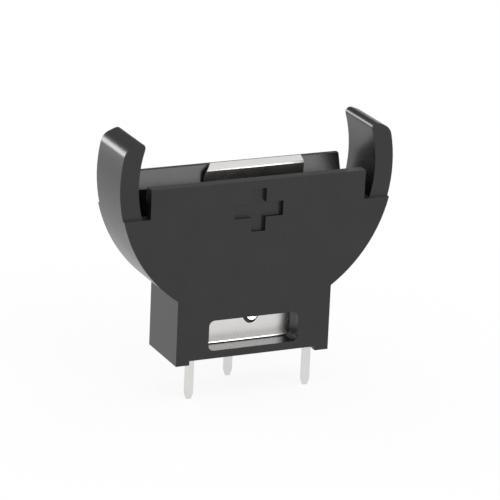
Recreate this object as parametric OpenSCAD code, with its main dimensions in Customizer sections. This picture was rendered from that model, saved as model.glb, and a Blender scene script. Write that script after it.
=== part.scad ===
// Upright through-hole holder for one coin cell: a moulded housing with two
// spring arms, a front contact with two solder pins and a back contact with one.
// Millimetres. X runs across the width, the marked front faces -Y, and Z = 0 is
// the face of the circuit board, midway between the two rows of pins.

/* [Cell] */
// Diameter of the cell
cell_d = 20; // [16:0.1:24]
// Thickness of the cell
cell_t = 3.2; // [1.6:0.1:5]
// Radial room between the cell and the arms
cell_room = 0.1; // [0.05:0.05:0.3]
// Room across the slot, on top of the cell's thickness
slot_room = 0.2; // [0.1:0.05:0.6]
// Height of the cell's centre above the board
cell_z = 15; // [13.5:0.1:17]

/* [Housing] */
// Thickness of the front wall of the slot
front_t = 1.05; // [0.9:0.05:1.5]
// Thickness of the back wall of the slot
back_t = 0.95; // [0.9:0.05:1.5]
// Radial thickness of the rim and of the arms
rim_t = 1.55; // [1.2:0.05:2.2]
// Width of the front and back walls above the shoulders
wall_w = 18.3; // [16:0.1:18.8]
// Drop from the cell's centre to the top of the walls
wall_drop = 0.25; // [0:0.05:1.2]
// Drop from the cell's centre to the shoulders beside the walls
shoulder_drop = 2.65; // [1.8:0.05:4]
// Width of the base block
base_w = 13.2; // [12.6:0.1:15]

/* [Arms] */
// Rise of the arm tips above the cell's centre
arm_rise = 3.45; // [2.6:0.05:4.4]
// How far the arms are set back from the front and back faces
arm_inset = 0.3; // [0.15:0.05:0.6]
// Radius of the tip's outer corner
tip_outer_r = 1.1; // [0.7:0.05:1.3]
// Radius of the tip's inner corner
tip_inner_r = 0.4; // [0.2:0.05:0.6]
// Drop across the sloped flat between the two corners
tip_slope = 0.15; // [0.05:0.05:0.3]

/* [Slot mouth] */
// Height of the lead-in on the back wall
lead_back_h = 1.4; // [0.6:0.1:2]
// Depth of the lead-in on the back wall
lead_back_d = 0.5; // [0.2:0.05:0.6]
// Height of the lead-in on the front wall
lead_front_h = 0.6; // [0.3:0.1:1.2]
// Depth of the lead-in on the front wall
lead_front_d = 0.2; // [0.1:0.05:0.4]

/* [Polarity mark] */
// Width of the plus sign
plus_w = 4.15; // [2.5:0.05:5]
// Height of the plus sign
plus_h = 3.5; // [2.5:0.05:4.2]
// Width of its bars
plus_bar = 1.2; // [0.6:0.05:1.6]
// Depth of the recess
plus_depth = 0.4; // [0.15:0.05:0.6]
// Drop from the top of the walls to the centre of the sign
plus_drop = 2.45; // [2.2:0.05:4]

/* [Window and feet] */
// Width of the window in the base
window_w = 7.7; // [5:0.1:9]
// Height of the window
window_h = 2.5; // [1.5:0.1:2.7]
// Height of the window's sill above the board
window_z = 1.0; // [0.9:0.05:1.4]
// Corner radius of the window
window_r = 0.45; // [0.2:0.05:0.7]
// Width of each foot rail
foot_w = 1.15; // [0.8:0.05:1.6]
// Height of the feet
foot_h = 0.35; // [0.2:0.05:0.5]

/* [Pins] */
// Spacing of the two front pins
pin_pitch = 10.16; // [9.6:0.02:10.6]
// Distance between the front and back rows
row_pitch = 3.81; // [3.5:0.01:3.95]
// Length of the pins below the board's face
pin_l = 3.1; // [2:0.1:5]
// Width of the pins
pin_w = 0.7; // [0.4:0.05:0.9]
// Length of the taper at a pin's end
pin_taper = 0.5; // [0.2:0.05:0.8]
// Thickness of the sheet that both contacts are bent from
sheet_t = 0.25; // [0.15:0.01:0.3]

/* [Contacts] */
// Height of the front legs' step above the feet
leg_rise = 0.45; // [0.35:0.05:0.55]
// Depth of the front contact's plate behind the front face
plate_depth = 1.6; // [1.4:0.05:1.9]
// Drop from the cell's seat to the top of the plate
plate_drop = 1; // [0.8:0.05:1.2]
// Width of the front contact's plate
plate_w = 11; // [10.6:0.1:11.4]
// Width of the front spring at its root
tongue_w = 4.6; // [3:0.1:6]
// Drop from the cell's centre to the front spring's top
tongue_drop = 2.2; // [1.5:0.1:4]
// Width of the locking tab seen in the window
tab_w = 1.6; // [1:0.05:2.2]
// How far the locking tab hangs below the window's top
tab_drop = 0.9; // [0.6:0.05:1.2]
// Degrees that the locking tab is bent forward
tab_lean = 12; // [6:1:16]
// Width of the back contact's blade
blade_w = 8.6; // [5:0.1:8.8]
// Sideways place of the blade's centre
blade_x = 1.4; // [0:0.1:1.5]
// Width of the sloped corner at the blade's top
blade_cut_w = 0.9; // [0.4:0.1:1.5]
// Height of that corner
blade_cut_h = 1.2; // [0.6:0.1:1.6]
// Drop from the top of the walls to the back spring's crown
crown_drop = 0.6; // [0.4:0.05:0.9]
// How far each spring stands into the slot
spring_reach = 0.35; // [0.1:0.05:0.6]
// Fitting room around the contacts in the housing
contact_room = 0.05; // [0.02:0.01:0.1]

/* [Hidden] */
$fn = 96;

eps = 0.01;                 // overlap of cutting tools past a face
arc_n = 6;                  // flats in a bend or a rounded corner

slot_t = cell_t + slot_room;
depth = front_t + slot_t + back_t;
front_y = -depth / 2;
slot_front_y = front_y + front_t;
slot_back_y = slot_front_y + slot_t;

seat_r = cell_d / 2 + cell_room;
rim_r = seat_r + rim_t;
wall_z = cell_z - wall_drop;
shoulder_z = cell_z - shoulder_drop;

// centres of the arm tip's two corner circles, in the plane of the rim
tip_in_z = arm_rise - tip_inner_r;
tip_in = [sqrt(pow(seat_r + tip_inner_r, 2) - pow(tip_in_z, 2)), tip_in_z];
tip_out_z = tip_in_z - (tip_outer_r - tip_inner_r) - tip_slope;
tip_out = [sqrt(pow(rim_r - tip_outer_r, 2) - pow(tip_out_z, 2)), tip_out_z];

// pin rows, and the flat parts of the two contacts
front_row_y = -row_pitch / 2;
back_row_y = row_pitch / 2;
plate_y = front_y + plate_depth + sheet_t / 2;
blade_y = back_row_y;
bend_r = 0.35;              // radius of the sharp bends, on the middle of the sheet
bow_r = 8;                  // radius of the springs' gentle bows
leg_z = foot_h + leg_rise;  // step between the front pins and the plate
seat_z = cell_z - seat_r;   // lowest point of the cell's seat
plate_top = seat_z - plate_drop;
tongue_top = cell_z - tongue_drop;
tongue_y = slot_front_y + sheet_t / 2 + contact_room;
blade_foot = window_z;
blade_root = seat_z + rim_t;
pocket_y = blade_y + sheet_t / 2 + contact_room;

// ---- flat helpers -------------------------------------------------------

// Slab with an outline drawn in X and Z, from y0 towards the back
module slab(y0, t) {
    translate([0, y0 + t, 0]) rotate([90, 0, 0]) linear_extrude(t) children();
}

// Bar with a section drawn in Y and Z, from x0 to x0 + w
module bar(x0, w) {
    translate([x0, 0, 0]) rotate([90, 0, 90]) linear_extrude(w) children();
}

// Rectangle given by its middle in X, its width and its two heights
module band(x, w, z0, z1) {
    translate([x - w / 2, z0]) square([w, z1 - z0]);
}

// Rectangle with rounded corners, from true arcs
module rounded_band(w, z0, z1, r) {
    band(0, w - 2 * r, z0, z1);
    band(0, w, z0 + r, z1 - r);
    for (x = [-w / 2 + r, w / 2 - r], z = [z0 + r, z1 - r])
        translate([x, z]) circle(r);
}

function unit(v) = v / norm(v);
function left_of(v) = [-v[1], v[0]];
function arc(c, r, a0, a1) =
    [for (i = [0:arc_n]) c + r * [cos(a0 + (a1 - a0) * i / arc_n), sin(a0 + (a1 - a0) * i / arc_n)]];

// Rounds the corner b between a and c to radius r
function bend(a, b, c, r) =
    let (u = unit(a - b), v = unit(c - b), half = acos(u * v) / 2,
         m = b + unit(u + v) * r / sin(half),
         s = b + u * r / tan(half) - m, e = b + v * r / tan(half) - m)
    [for (i = [0:arc_n]) m + r * unit(s * (arc_n - i) + e * i)];

// A path with its inner corners rounded, each to its own radius
function bent(p, radii) = [for (i = [0:len(p) - 1])
    each (i == 0 || i == len(p) - 1) ? [p[i]] : bend(p[i - 1], p[i], p[i + 1], radii[i - 1])];

// Outline of a sheet of thickness t whose middle follows the path
function side(p, d) = [for (i = [0:len(p) - 1])
    let (a = unit(p[max(i, 1)] - p[max(i, 1) - 1]),
         b = unit(p[min(i, len(p) - 2) + 1] - p[min(i, len(p) - 2)]),
         m = unit(left_of(a) + left_of(b)))
    p[i] + d * m / (m * left_of(a))];
function sheet(p, t) = let (back = side(p, -t / 2))
    concat(side(p, t / 2), [for (i = [len(p) - 1:-1:0]) back[i]]);

// ---- housing ------------------------------------------------------------

// Everything on the inner side of an arm's rounded tip; the rim is cut to it
module tip_mask() {
    polygon(concat(
        [[0, -cell_z], [0, 0], (seat_r - rim_t) * unit(tip_in)],
        arc(tip_in, tip_inner_r, 180 + atan2(tip_in[1], tip_in[0]), tip_angle()),
        arc(tip_out, tip_outer_r, tip_angle(), atan2(tip_out[1], tip_out[0])),
        [[2 * rim_r, tip_out[1]], [2 * rim_r, -cell_z]]));
}

// Direction of the flat between the two corner circles
function tip_angle() =
    let (d = tip_in - tip_out)
    atan2(d[1], d[0]) - acos((tip_outer_r - tip_inner_r) / norm(d));

// The two arms: a ring cut off at the rounded tips
module arms_outline() {
    translate([0, cell_z]) difference() {
        intersection() {
            circle(rim_r);
            union() {
                tip_mask();
                mirror([1, 0]) tip_mask();
            }
        }
        circle(seat_r);
        translate([-rim_r, -2 * rim_r]) square([2 * rim_r, 2 * rim_r - shoulder_drop - rim_t]);
    }
}

// The half-round body up to its shoulders, and the base block below it
module body_outline() {
    intersection() {
        translate([0, cell_z]) circle(rim_r);
        band(0, 2 * rim_r, 0, shoulder_z);
    }
    band(0, base_w, foot_h, seat_z + rim_t);
    for (s = [-1, 1])
        band(s * (base_w - foot_w) / 2, foot_w, 0, seat_z);
    band(0, wall_w, shoulder_z - rim_t, wall_z);
}

// Lead-in at the slot's mouth, on one wall: a wedge as wide as the wall
module lead_in(y, d, h) {
    bar(-wall_w / 2 - eps, wall_w + 2 * eps)
        polygon([[y, wall_z - h], [y + d * (1 + eps), wall_z + eps * h],
                 [y - d, wall_z + eps * h], [y - d, wall_z - h]]);
}

module plus_outline() {
    z = wall_z - plus_drop;
    band(0, plus_w, z - plus_bar / 2, z + plus_bar / 2);
    band(0, plus_bar, z - plus_h / 2, z + plus_h / 2);
}

// Outline of the back contact's blade, grown by the room given
module blade_outline(room, z0, z1) {
    half = blade_w / 2 + room;
    polygon([
        [blade_x - half, z0], [blade_x + half, z0], [blade_x + half, z1],
        [blade_x - half + blade_cut_w, z1], [blade_x - half, z1 - blade_cut_h]]);
}

// Hollows in the base that the two contacts are pushed into from below
module contact_pockets() {
    // slot for the plate, and the way from it up to the front wall
    slab(plate_y - sheet_t / 2 - contact_room, sheet_t + 2 * contact_room)
        band(0, plate_w + 2 * contact_room, 0, plate_top + contact_room);
    slab(slot_front_y, plate_y + sheet_t / 2 + contact_room - slot_front_y)
        band(0, tongue_w + 4 * contact_room, plate_top - sheet_t, seat_z + rim_t);
    // channels for the stepped legs
    leg_y = front_row_y - sheet_t / 2 - contact_room;
    for (s = [-1, 1])
        slab(leg_y, plate_y - leg_y)
            band(s * pin_pitch / 2, pin_w + 4 * contact_room, 0, leg_z + sheet_t);
    // seat of the blade, open to the slot
    slab(slot_back_y - eps, pocket_y - slot_back_y + eps)
        blade_outline(2 * contact_room, 0, wall_z + eps);
    slab(blade_y - sheet_t / 2 - contact_room, sheet_t + 2 * contact_room)
        blade_outline(2 * contact_room, 0, blade_root);
}

module housing() {
    color("#1c1d1f") difference() {
        union() {
            slab(front_y, depth) body_outline();
            slab(front_y + arm_inset, depth - 2 * arm_inset) arms_outline();
        }
        slab(slot_front_y, slot_t) translate([0, cell_z]) circle(seat_r);
        lead_in(slot_back_y, lead_back_d, lead_back_h);
        lead_in(slot_front_y, -lead_front_d, lead_front_h);
        slab(front_y - eps, plus_depth + eps) plus_outline();
        slab(front_y - eps, plate_depth + eps)
            rounded_band(window_w, window_z, window_z + window_h, window_r);
        contact_pockets();
    }
}

// ---- contacts -----------------------------------------------------------

// Pin with a tapered end, standing on the blade or plate that it is cut from
module pin_outline(x, top) {
    polygon([
        [x - pin_w / 2, top], [x - pin_w / 2, pin_taper - pin_l], [x - pin_w / 4, -pin_l],
        [x + pin_w / 4, -pin_l], [x + pin_w / 2, pin_taper - pin_l], [x + pin_w / 2, top]]);
}

// Front contact: two pins, a step back to the plate behind the window, and a
// spring that leans into the slot and returns to the front wall at its top
module positive_contact() {
    tab_root = window_z + window_h;
    tab_end = window_z + window_h - tab_drop;
    path = bent([
        [front_row_y, -pin_l], [front_row_y, leg_z], [plate_y, leg_z], [plate_y, plate_top],
        [tongue_y, seat_z], [tongue_y + spring_reach, (seat_z + tongue_top) / 2],
        [tongue_y, tongue_top]], [bend_r, bend_r, bend_r, bend_r, bow_r]);
    color("#d4d4d0") {
        difference() {
            intersection() {
                bar(-plate_w, 2 * plate_w) polygon(sheet(path, sheet_t));
                slab(front_y, depth) {
                    for (s = [-1, 1]) pin_outline(s * pin_pitch / 2, leg_z + sheet_t);
                    band(0, plate_w, leg_z + sheet_t - eps, plate_top);
                    polygon([[-tongue_w / 2, plate_top - eps], [tongue_w / 2, plate_top - eps],
                             [tongue_w / 4, tongue_top], [-tongue_w / 4, tongue_top]]);
                }
            }
            // slit that frees the locking tab
            slab(plate_y - sheet_t, 2 * sheet_t)
                tab_outline(tab_w + 2 * sheet_t, tab_end - sheet_t, tab_root);
        }
        // the tab, bent forward about its root
        translate([0, plate_y, tab_root]) rotate([-tab_lean, 0, 0]) translate([0, 0, -tab_root])
            slab(-sheet_t / 2, sheet_t) tab_outline(tab_w, tab_end, tab_root + sheet_t / 4);
    }
}

// A strip that ends in a half round at its foot
module tab_outline(w, z0, z1) {
    intersection() {
        union() {
            band(0, w, z0 + w / 2, z1 + w);
            translate([0, z0 + w / 2]) circle(w / 2);
        }
        band(0, w, z0, z1);
    }
}

// Back contact: one pin and a wide blade that leans into the slot, with its top
// edge turned back to lead the cell in
module negative_contact() {
    crown_z = wall_z - crown_drop;
    crown_y = slot_back_y + sheet_t / 2 - spring_reach;
    path = bent([
        [blade_y, -pin_l], [blade_y, blade_root], [crown_y, crown_z],
        [blade_y - sheet_t / 4, wall_z]], [bow_r, bend_r]);
    color("#d4d4d0") intersection() {
        bar(blade_x - blade_w, 2 * blade_w) polygon(sheet(path, sheet_t));
        slab(front_y, depth) {
            pin_outline(0, blade_foot + eps);
            blade_outline(0, blade_foot, wall_z + sheet_t);
        }
    }
}

housing();
positive_contact();
negative_contact();
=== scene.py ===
# %% [markdown]
# # An upright holder for one coin cell
#
# This holder stands on a circuit board and grips a coin cell on its edge. It is three
# pieces: a black moulded housing, a front contact with two solder pins and a back contact
# with one. The shapes come from a solid model, and this lesson gives them their looks:
# rolled edges, moulded plastic, plated spring sheet, light and a camera.

# %% Load the solids
import math

import bmesh
import bpy
from mathutils import Matrix, Quaternion, Vector


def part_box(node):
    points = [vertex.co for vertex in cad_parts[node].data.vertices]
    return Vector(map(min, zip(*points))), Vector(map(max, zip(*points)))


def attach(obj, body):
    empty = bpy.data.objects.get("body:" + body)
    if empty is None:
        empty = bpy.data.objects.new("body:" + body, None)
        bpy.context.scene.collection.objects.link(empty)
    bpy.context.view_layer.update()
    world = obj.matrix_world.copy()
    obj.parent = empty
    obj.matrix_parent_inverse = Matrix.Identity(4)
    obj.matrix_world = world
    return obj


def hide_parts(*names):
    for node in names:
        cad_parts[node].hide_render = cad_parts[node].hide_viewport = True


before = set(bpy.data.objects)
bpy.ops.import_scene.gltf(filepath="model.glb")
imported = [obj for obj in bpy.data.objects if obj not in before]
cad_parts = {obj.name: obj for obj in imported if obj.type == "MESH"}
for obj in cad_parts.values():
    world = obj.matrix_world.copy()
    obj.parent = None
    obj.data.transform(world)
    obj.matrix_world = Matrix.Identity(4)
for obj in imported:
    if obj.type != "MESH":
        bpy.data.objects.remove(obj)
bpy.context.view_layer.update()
print("solids:", ", ".join(sorted(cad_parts)))

# %% [markdown]
# ## Sizes to build on
#
# Blender works in metres, and this part is measured in millimetres, so one named factor
# turns one into the other. The places of the camera, lamps and floor are worked out from
# the solids' own boxes: if the model changes, they follow it.

# %% Read the sizes
MM = 0.001
housing_low, housing_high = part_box("housing")
floor_z = min(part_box(name)[0].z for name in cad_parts)
middle = (housing_low + housing_high) / 2
print(f"housing {(housing_high - housing_low) / MM} mm, pins end at {floor_z / MM:.2f} mm")

# %% [markdown]
# ## Camera
#
# A small part is best seen from far off through a long lens, which keeps its upright edges
# nearly parallel. The camera's place is given as an angle round the part, an angle above
# it and a distance from the point that it looks at. A slight roll about the line of sight
# tips the picture as a hand-held camera would.

# %% Set up the camera
LENS = 234.3
SENSOR = 36
AZIMUTH, ELEVATION, ROLL = (math.radians(a) for a in (-25.25, 18.59, 2.53))
DISTANCE = 254.2 * MM
AIM_ASIDE, AIM_DOWN = -0.63 * MM, 0.15 * MM
aim = Vector((AIM_ASIDE, housing_low.y, middle.z - AIM_DOWN))


def line_of_sight(azimuth, elevation):
    """The way a camera looks: azimuth 0 is along +Y, and a positive elevation is downwards."""
    flat = Vector((-math.sin(azimuth), math.cos(azimuth), 0)) * math.cos(elevation)
    return flat - Vector((0, 0, math.sin(elevation)))


lens = bpy.data.cameras.new("camera")
lens.lens = LENS
lens.sensor_width = SENSOR
camera = bpy.data.objects.new("camera", lens)
bpy.context.scene.collection.objects.link(camera)
sight = line_of_sight(AZIMUTH, ELEVATION)
camera.location = aim - DISTANCE * sight
camera.rotation_euler = (sight.to_track_quat("-Z", "Y") @ Quaternion((0, 0, 1), ROLL)).to_euler()
bpy.context.scene.camera = camera
print("camera at", [round(c / MM, 1) for c in camera.location], "mm")

# %% [markdown]
# ## Two helpers for materials
#
# Colours are easiest to choose as the hex codes of a paint program, but a shader adds and
# multiplies light, and needs linear values, so one function turns the first into the
# second. The other function adds any node with its settings and its links in one line,
# which keeps each material short enough to read as a recipe.

# %% Helpers for colours and nodes
def linear(code):
    """An sRGB hex code as the linear red, green, blue and alpha of a shader."""
    parts = [int(code[i:i + 2], 16) / 255 for i in (0, 2, 4)]
    return (*[c / 12.92 if c <= 0.04045 else ((c + 0.055) / 1.055) ** 2.4 for c in parts], 1)


def add(tree, kind, settings=None, links=None):
    """Adds a node: settings go to its sockets or its properties, links to its sockets."""
    made = tree.nodes.new(kind)
    for key, value in (settings or {}).items():
        if isinstance(key, int) or key in made.inputs:
            made.inputs[key].default_value = value
        else:
            setattr(made, key, value)
    for key, output in (links or {}).items():
        tree.links.new(output, made.inputs[key])
    return made


print("black nylon's base colour is", [round(c, 4) for c in linear("101012")])

# %% [markdown]
# ## Floor
#
# The floor is a wide white disc under the tips of the pins. Close to the part it is a
# matt white sheet that takes the part's shadow. Further out it fades to an even white, so
# that no edge or horizon shows behind the part. That even white is only what the camera,
# a reflection or a transparent thing sees: the part is lit by the matt sheet alone.

# %% Lay the floor
FLOOR_RADIUS = 2000 * MM
SHADOW_NEAR, SHADOW_FAR = 12 * MM, 45 * MM
SHADOW_SHARE = 0.12


def white_floor():
    """Matt white card that fades to an even white away from the part."""
    material = bpy.data.materials.new("white_card")
    material.use_nodes = True
    tree = material.node_tree
    tree.nodes.clear()
    place = add(tree, "ShaderNodeTexCoord")
    reach = add(tree, "ShaderNodeVectorMath", {"operation": "LENGTH"}, {0: place.outputs["Object"]})
    fade = add(tree, "ShaderNodeMapRange",
               {"interpolation_type": "SMOOTHSTEP", "From Min": SHADOW_NEAR, "From Max": SHADOW_FAR,
                "To Min": 1 - SHADOW_SHARE, "To Max": 1},
               {"Value": reach.outputs["Value"]})
    ray = add(tree, "ShaderNodeLightPath")
    seen = add(tree, "ShaderNodeMath", {"operation": "MAXIMUM"},
               {0: ray.outputs["Is Camera Ray"], 1: ray.outputs["Is Glossy Ray"]})
    seen = add(tree, "ShaderNodeMath", {"operation": "MAXIMUM"},
               {0: seen.outputs[0], 1: ray.outputs["Is Transmission Ray"]})
    share = add(tree, "ShaderNodeMath", {"operation": "MULTIPLY"},
                {0: fade.outputs["Result"], 1: seen.outputs[0]})
    card = add(tree, "ShaderNodeBsdfDiffuse", {"Color": linear("f7f7f7")})
    even = add(tree, "ShaderNodeEmission", {"Color": linear("ffffff"), "Strength": 1})
    mixed = add(tree, "ShaderNodeMixShader", {},
                {0: share.outputs[0], 1: card.outputs[0], 2: even.outputs[0]})
    add(tree, "ShaderNodeOutputMaterial", {}, {"Surface": mixed.outputs[0]})
    return material


disc = bmesh.new()
bmesh.ops.create_circle(disc, cap_ends=True, segments=96, radius=FLOOR_RADIUS)
bmesh.ops.translate(disc, verts=disc.verts, vec=(0, 0, floor_z))
floor_mesh = bpy.data.meshes.new("floor")
disc.to_mesh(floor_mesh)
disc.free()
floor = bpy.data.objects.new("floor", floor_mesh)
floor_mesh.materials.append(white_floor())
bpy.context.scene.collection.objects.link(floor)
print(f"floor at {floor_z / MM:.2f} mm")

# %% [markdown]
# ## Light
#
# Black plastic shows hardly any colour of its own: what the eye sees on it is the room
# that it mirrors. So the light is a pale room all round, at the level where a colour
# renders about as it is written. The far upper wall is darker, which keeps the level
# faces from glaring. Two softboxes stand low: one in front to the right, which the sloped
# mouth of the slot mirrors, and one behind to the left, which skims the side faces. A
# faint one overhead gives the back contact's lip its gleam.

# %% Light the room
ROOM = linear("ffffff")
FAR_WALL = linear("9a9a9a")
FAR_WALL_WAY = Vector((0.36, 0.84, 0.42)).normalized()


def pale_room():
    """A white room whose far upper wall is darker."""
    world = bpy.data.worlds.new("pale_room")
    world.use_nodes = True
    tree = world.node_tree
    tree.nodes.clear()
    way = add(tree, "ShaderNodeTexCoord")
    turn = add(tree, "ShaderNodeVectorMath", {"operation": "DOT_PRODUCT", 1: FAR_WALL_WAY},
               {0: way.outputs["Generated"]})
    wall = add(tree, "ShaderNodeMapRange",
               {"interpolation_type": "SMOOTHSTEP", "From Min": 0.62, "From Max": 0.92},
               {"Value": turn.outputs["Value"]})
    colour = add(tree, "ShaderNodeMix", {"data_type": "RGBA", 6: ROOM, 7: FAR_WALL},
                 {0: wall.outputs["Result"]})
    light = add(tree, "ShaderNodeBackground", {"Strength": 1}, {"Color": colour.outputs[2]})
    add(tree, "ShaderNodeOutputWorld", {}, {"Surface": light.outputs[0]})
    return world


def softbox(name, way, distance, size, watts):
    """A square lamp in the given direction from the part, turned to face it."""
    lamp = bpy.data.lights.new(name, "AREA")
    lamp.shape = "SQUARE"
    lamp.size = size
    lamp.energy = watts
    box = bpy.data.objects.new(name, lamp)
    box.location = middle + way.normalized() * distance
    box.rotation_euler = (-way).to_track_quat("-Z", "Y").to_euler()
    box.visible_camera = False
    bpy.context.scene.collection.objects.link(box)
    return box


bpy.context.scene.world = pale_room()
softbox("front_softbox", Vector((0.40, -0.87, 0.30)), 400 * MM, 200 * MM, 0.5)
softbox("rim_softbox", Vector((-0.44, 0.89, 0.06)), 400 * MM, 160 * MM, 0.6)
softbox("top_softbox", Vector((0.40, 0.28, 0.87)), 400 * MM, 200 * MM, 0.045)

# %% [markdown]
# ## Black nylon
#
# The housing is injection moulded from black glass-filled nylon. The mould's steel is
# spark eroded, and leaves a fine even grain that turns a mirror into a soft gloss. The
# plastic itself is nearly black, so its look comes from the clear surface alone: an index
# of refraction a little under 1.5 and a middling roughness that varies a little where the melt
# cooled unevenly.

# %% Mix the black nylon
GRAIN = 0.12
FLOW = 2.5


def per(size):
    """Scale of a pattern on Object coordinates whose features measure this many millimetres."""
    return 1 / (size * MM)


def material_tree(name):
    """A new material with an empty tree, and the Object coordinates to build it on."""
    material = bpy.data.materials.new(name)
    material.use_nodes = True
    tree = material.node_tree
    tree.nodes.clear()
    return material, tree, add(tree, "ShaderNodeTexCoord").outputs["Object"]


def black_nylon():
    """Moulded black nylon: nearly black, softly glossy, with the mould's fine grain."""
    material, tree, place = material_tree("black_nylon")
    grain = add(tree, "ShaderNodeTexNoise", {"Scale": per(GRAIN), "Detail": 3, "Roughness": 0.55},
                {"Vector": place})
    flow = add(tree, "ShaderNodeTexNoise", {"Scale": per(FLOW), "Detail": 2}, {"Vector": place})
    tone = add(tree, "ShaderNodeMix",
               {"data_type": "RGBA", 6: linear("101012"), 7: linear("19191b")},
               {0: flow.outputs["Fac"]})
    gloss = add(tree, "ShaderNodeMapRange", {"To Min": 0.24, "To Max": 0.3},
                {"Value": flow.outputs["Fac"]})
    bump = add(tree, "ShaderNodeBump", {"Strength": 0.5, "Distance": 0.004 * MM},
               {"Height": grain.outputs["Fac"]})
    shader = add(tree, "ShaderNodeBsdfPrincipled", {"IOR": 1.47},
                 {"Base Color": tone.outputs[2], "Roughness": gloss.outputs["Result"],
                  "Normal": bump.outputs["Normal"]})
    add(tree, "ShaderNodeOutputMaterial", {}, {"Surface": shader.outputs[0]})
    return material


nylon = black_nylon()
print("made", nylon.name)

# %% [markdown]
# ## Plated spring sheet
#
# Both contacts are blanked and bent from thin spring sheet and plated with tin or nickel.
# Rolling left faint lines along the sheet, and the plating over them is satin: bright, but
# it blurs what it mirrors. A noise stretched along the rolling direction makes the lines,
# and a broader one lets the gloss drift as thin plating does.

# %% Mix the plated spring sheet
ROLLED_LINE = 0.09
ROLLED_LENGTH = 2.5
CLOUD = 1.6


def plated_spring():
    """Satin plating over rolled spring sheet."""
    material, tree, place = material_tree("plated_spring")
    stretch = add(tree, "ShaderNodeMapping",
                  {"Scale": (per(ROLLED_LINE), per(ROLLED_LINE), per(ROLLED_LENGTH))},
                  {"Vector": place})
    lines = add(tree, "ShaderNodeTexNoise", {"Scale": 1, "Detail": 2},
                {"Vector": stretch.outputs["Vector"]})
    cloud = add(tree, "ShaderNodeTexNoise", {"Scale": per(CLOUD), "Detail": 3}, {"Vector": place})
    tone = add(tree, "ShaderNodeMix",
               {"data_type": "RGBA", 6: linear("d0cecc"), 7: linear("dddcda")},
               {0: cloud.outputs["Fac"]})
    gloss = add(tree, "ShaderNodeMapRange", {"To Min": 0.24, "To Max": 0.32},
                {"Value": cloud.outputs["Fac"]})
    bump = add(tree, "ShaderNodeBump", {"Strength": 0.4, "Distance": 0.002 * MM},
               {"Height": lines.outputs["Fac"]})
    shader = add(tree, "ShaderNodeBsdfPrincipled", {"Metallic": 1},
                 {"Base Color": tone.outputs[2], "Roughness": gloss.outputs["Result"],
                  "Normal": bump.outputs["Normal"]})
    add(tree, "ShaderNodeOutputMaterial", {}, {"Surface": shader.outputs[0]})
    return material


spring = plated_spring()
print("made", spring.name)

# %% [markdown]
# ## Rolled edges
#
# No moulded or blanked edge is truly sharp, and the thin line of light along an edge is
# what makes a small part look real. The solid model leaves its edges sharp, so each piece
# here is a copy of its solid: the loose triangles are merged, flat faces are joined, and a
# bevel rolls each sharp edge over. A weighted-normal modifier then keeps the big flat
# faces flat to the eye and lets only the narrow bevels turn the light.
#
# One limit on the angle tells an edge from the facets of a round stretch. The slot's
# sloped mouth meets its walls at less than that limit. Its edges run straight across the
# part, though, and no round stretch of the housing does, so they are told by that.

# %% Function that makes a piece with rolled edges
SHARP = math.radians(28)
SLOPED = math.radians(15)
FLAT = math.radians(0.5)
CREASE = math.radians(50)
INSIDE = 0.6 * MM
INSIDE_BELOW = 6 * MM
INSIDE_HALF = 5.8 * MM


def inside(edge):
    """True for an edge within the base, behind its face: a mould leaves these sharp."""
    front, back = housing_low.y + INSIDE, housing_high.y - INSIDE
    return all(front < v.co.y < back and v.co.z < INSIDE_BELOW and abs(v.co.x) < INSIDE_HALF
               for v in edge.verts)


def across(edge):
    """True for an edge between two faces that both run straight across the part."""
    return all(abs(face.normal.x) < math.sin(FLAT) for face in edge.link_faces)


def rolled_piece(node, merge, radius, segments, material, shape=None):
    """A copy of a solid with its sharp edges rolled over to the radius given."""
    form = bmesh.new()
    form.from_mesh(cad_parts[node].data)
    bmesh.ops.remove_doubles(form, verts=form.verts, dist=merge)
    if shape:
        shape(form)
    bmesh.ops.dissolve_limit(form, angle_limit=FLAT, verts=form.verts, edges=form.edges)
    moulded = node == "housing"
    edges = [e for e in form.edges if e.is_manifold
             and e.calc_face_angle() > (SLOPED if moulded and across(e) else SHARP)
             and not (moulded and inside(e))]
    bmesh.ops.bevel(form, geom=edges, offset=radius, offset_type="OFFSET", affect="EDGES",
                    segments=segments, profile=0.5, material=-1, clamp_overlap=True)
    for face in form.faces:
        face.smooth = True
    mesh = bpy.data.meshes.new(node + "_rolled")
    form.to_mesh(mesh)
    form.free()
    mesh.materials.append(material)
    mesh.set_sharp_from_angle(angle=CREASE)
    piece = bpy.data.objects.new(node + "_rolled", mesh)
    bpy.context.scene.collection.objects.link(piece)
    shading = piece.modifiers.new("flat_faces", "WEIGHTED_NORMAL")
    shading.keep_sharp = True
    shading.weight = 100
    print(f"{piece.name}: {len(edges)} edges rolled, {len(mesh.polygons)} faces")
    return piece


# %% [markdown]
# ## Lip of the back contact
#
# The top edge of the back contact is folded over the mouth of the slot, so that the cell
# slides in past it. The solid has this fold lower and steeper than it should be. The copy
# is lifted at its crown and folded further back in a few small turns, as a press brake
# would do it, and the fold stays rounded.

# %% Function that folds the lip
CROWN_LIFT = 0.36 * MM
CROWN_REACH = 0.1 * MM
LIP_TURN = math.radians(36)
TURNS = 5
LIP_RISE = 0.66 * MM
CROWN_Y = 1.525 * MM
crown_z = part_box("negative_contact")[1].z - LIP_RISE


def fold_lip(form):
    """Lifts the crown and turns the lip above it further back."""
    top = [v for v in form.verts if v.co.z > crown_z - CROWN_REACH]
    bmesh.ops.translate(form, verts=top, vec=(0, 0, CROWN_LIFT))
    for step in range(TURNS):
        height = crown_z + CROWN_LIFT + CROWN_REACH * (2 * step / (TURNS - 1) - 1)
        above = [v for v in form.verts if v.co.z > height]
        bmesh.ops.rotate(form, verts=above, cent=(0, CROWN_Y, height),
                         matrix=Matrix.Rotation(-LIP_TURN / TURNS, 3, "X"))
    print(f"lip folded over to {max(v.co.y for v in top) / MM:.2f} mm, "
          f"{max(v.co.z for v in top) / MM:.2f} mm high")


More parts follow.
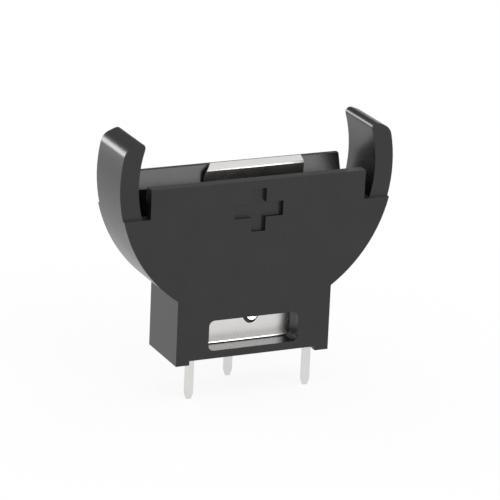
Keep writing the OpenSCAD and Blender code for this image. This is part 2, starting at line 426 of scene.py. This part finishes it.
# %% [markdown]
# ## Locking tab
#
# A small tab is cut free in the front contact's plate, behind the window, and is bent
# forwards out of it. The copy bends it a little further about its root, and narrows and
# shifts it with its slit. There is open room in front of the plate and none behind it, so
# forwards is the only way that it can turn. It stays as bright as the plate: a tab that
# leans back would mirror the dark sill, but the solid housing has no room for one.

# %% Function that bends the tab
TAB_ROOT = 3.5 * MM
TAB_END = 2.6 * MM
TAB_HALF = 0.8 * MM
TAB_TURN = math.radians(-12)
TAB_NARROWED = 0.72
TAB_SHIFT = 0.42 * MM
SLIT_HALF = 1.1 * MM
SLIT_LOW, SLIT_HIGH = 2.2 * MM, 3.7 * MM
PLATE_Y = -0.975 * MM
PLATE_BACK = 0.2 * MM
TAB_ROOM = 0.06 * MM
TAB_MARGIN = 0.1 * MM


def on_tab(place):
    """True for a point of the tab, and not of the slit round it."""
    low = max(TAB_END + TAB_HALF - place.z, 0)
    return (math.hypot(place.x, low) < TAB_HALF + TAB_ROOM
            and place.y < PLATE_Y + PLATE_BACK
            and TAB_END - TAB_MARGIN < place.z < TAB_ROOT - TAB_MARGIN)


def bend_tab(form):
    """Bends the locking tab about its root, then narrows and shifts it with its slit."""
    tab = [v for v in form.verts if on_tab(v.co)]
    cut = [v for v in form.verts if abs(v.co.x) < SLIT_HALF and SLIT_LOW < v.co.z < SLIT_HIGH]
    bmesh.ops.rotate(form, verts=tab, cent=(0, PLATE_Y, TAB_ROOT),
                     matrix=Matrix.Rotation(TAB_TURN, 3, "X"))
    bmesh.ops.scale(form, verts=cut, vec=(TAB_NARROWED, 1, 1))
    bmesh.ops.translate(form, verts=cut, vec=(TAB_SHIFT, 0, 0))
    reach = [round(side(v.co.y for v in tab) / MM, 2) for side in (min, max)]
    print(f"tab: {len(tab)} of {len(cut)} points bent, now between y {reach} mm")


# %% Make the three pieces
MOULD = {"merge": 0.015 * MM, "radius": 0.1 * MM, "segments": 3, "material": nylon}
BLANK = {"merge": 0.004 * MM, "radius": 0.03 * MM, "segments": 2, "material": spring}
housing = rolled_piece("housing", **MOULD)
front_contact = rolled_piece("positive_contact", shape=bend_tab, **BLANK)
back_contact = rolled_piece("negative_contact", shape=fold_lip, **BLANK)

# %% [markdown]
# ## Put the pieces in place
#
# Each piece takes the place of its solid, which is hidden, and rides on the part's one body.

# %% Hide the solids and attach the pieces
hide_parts("housing")
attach(housing, "root")
for piece, node in ((front_contact, "positive_contact"), (back_contact, "negative_contact")):
    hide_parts(node)
    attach(piece, "root")

# %% Set the view
bpy.context.scene.view_settings.view_transform = "Standard"
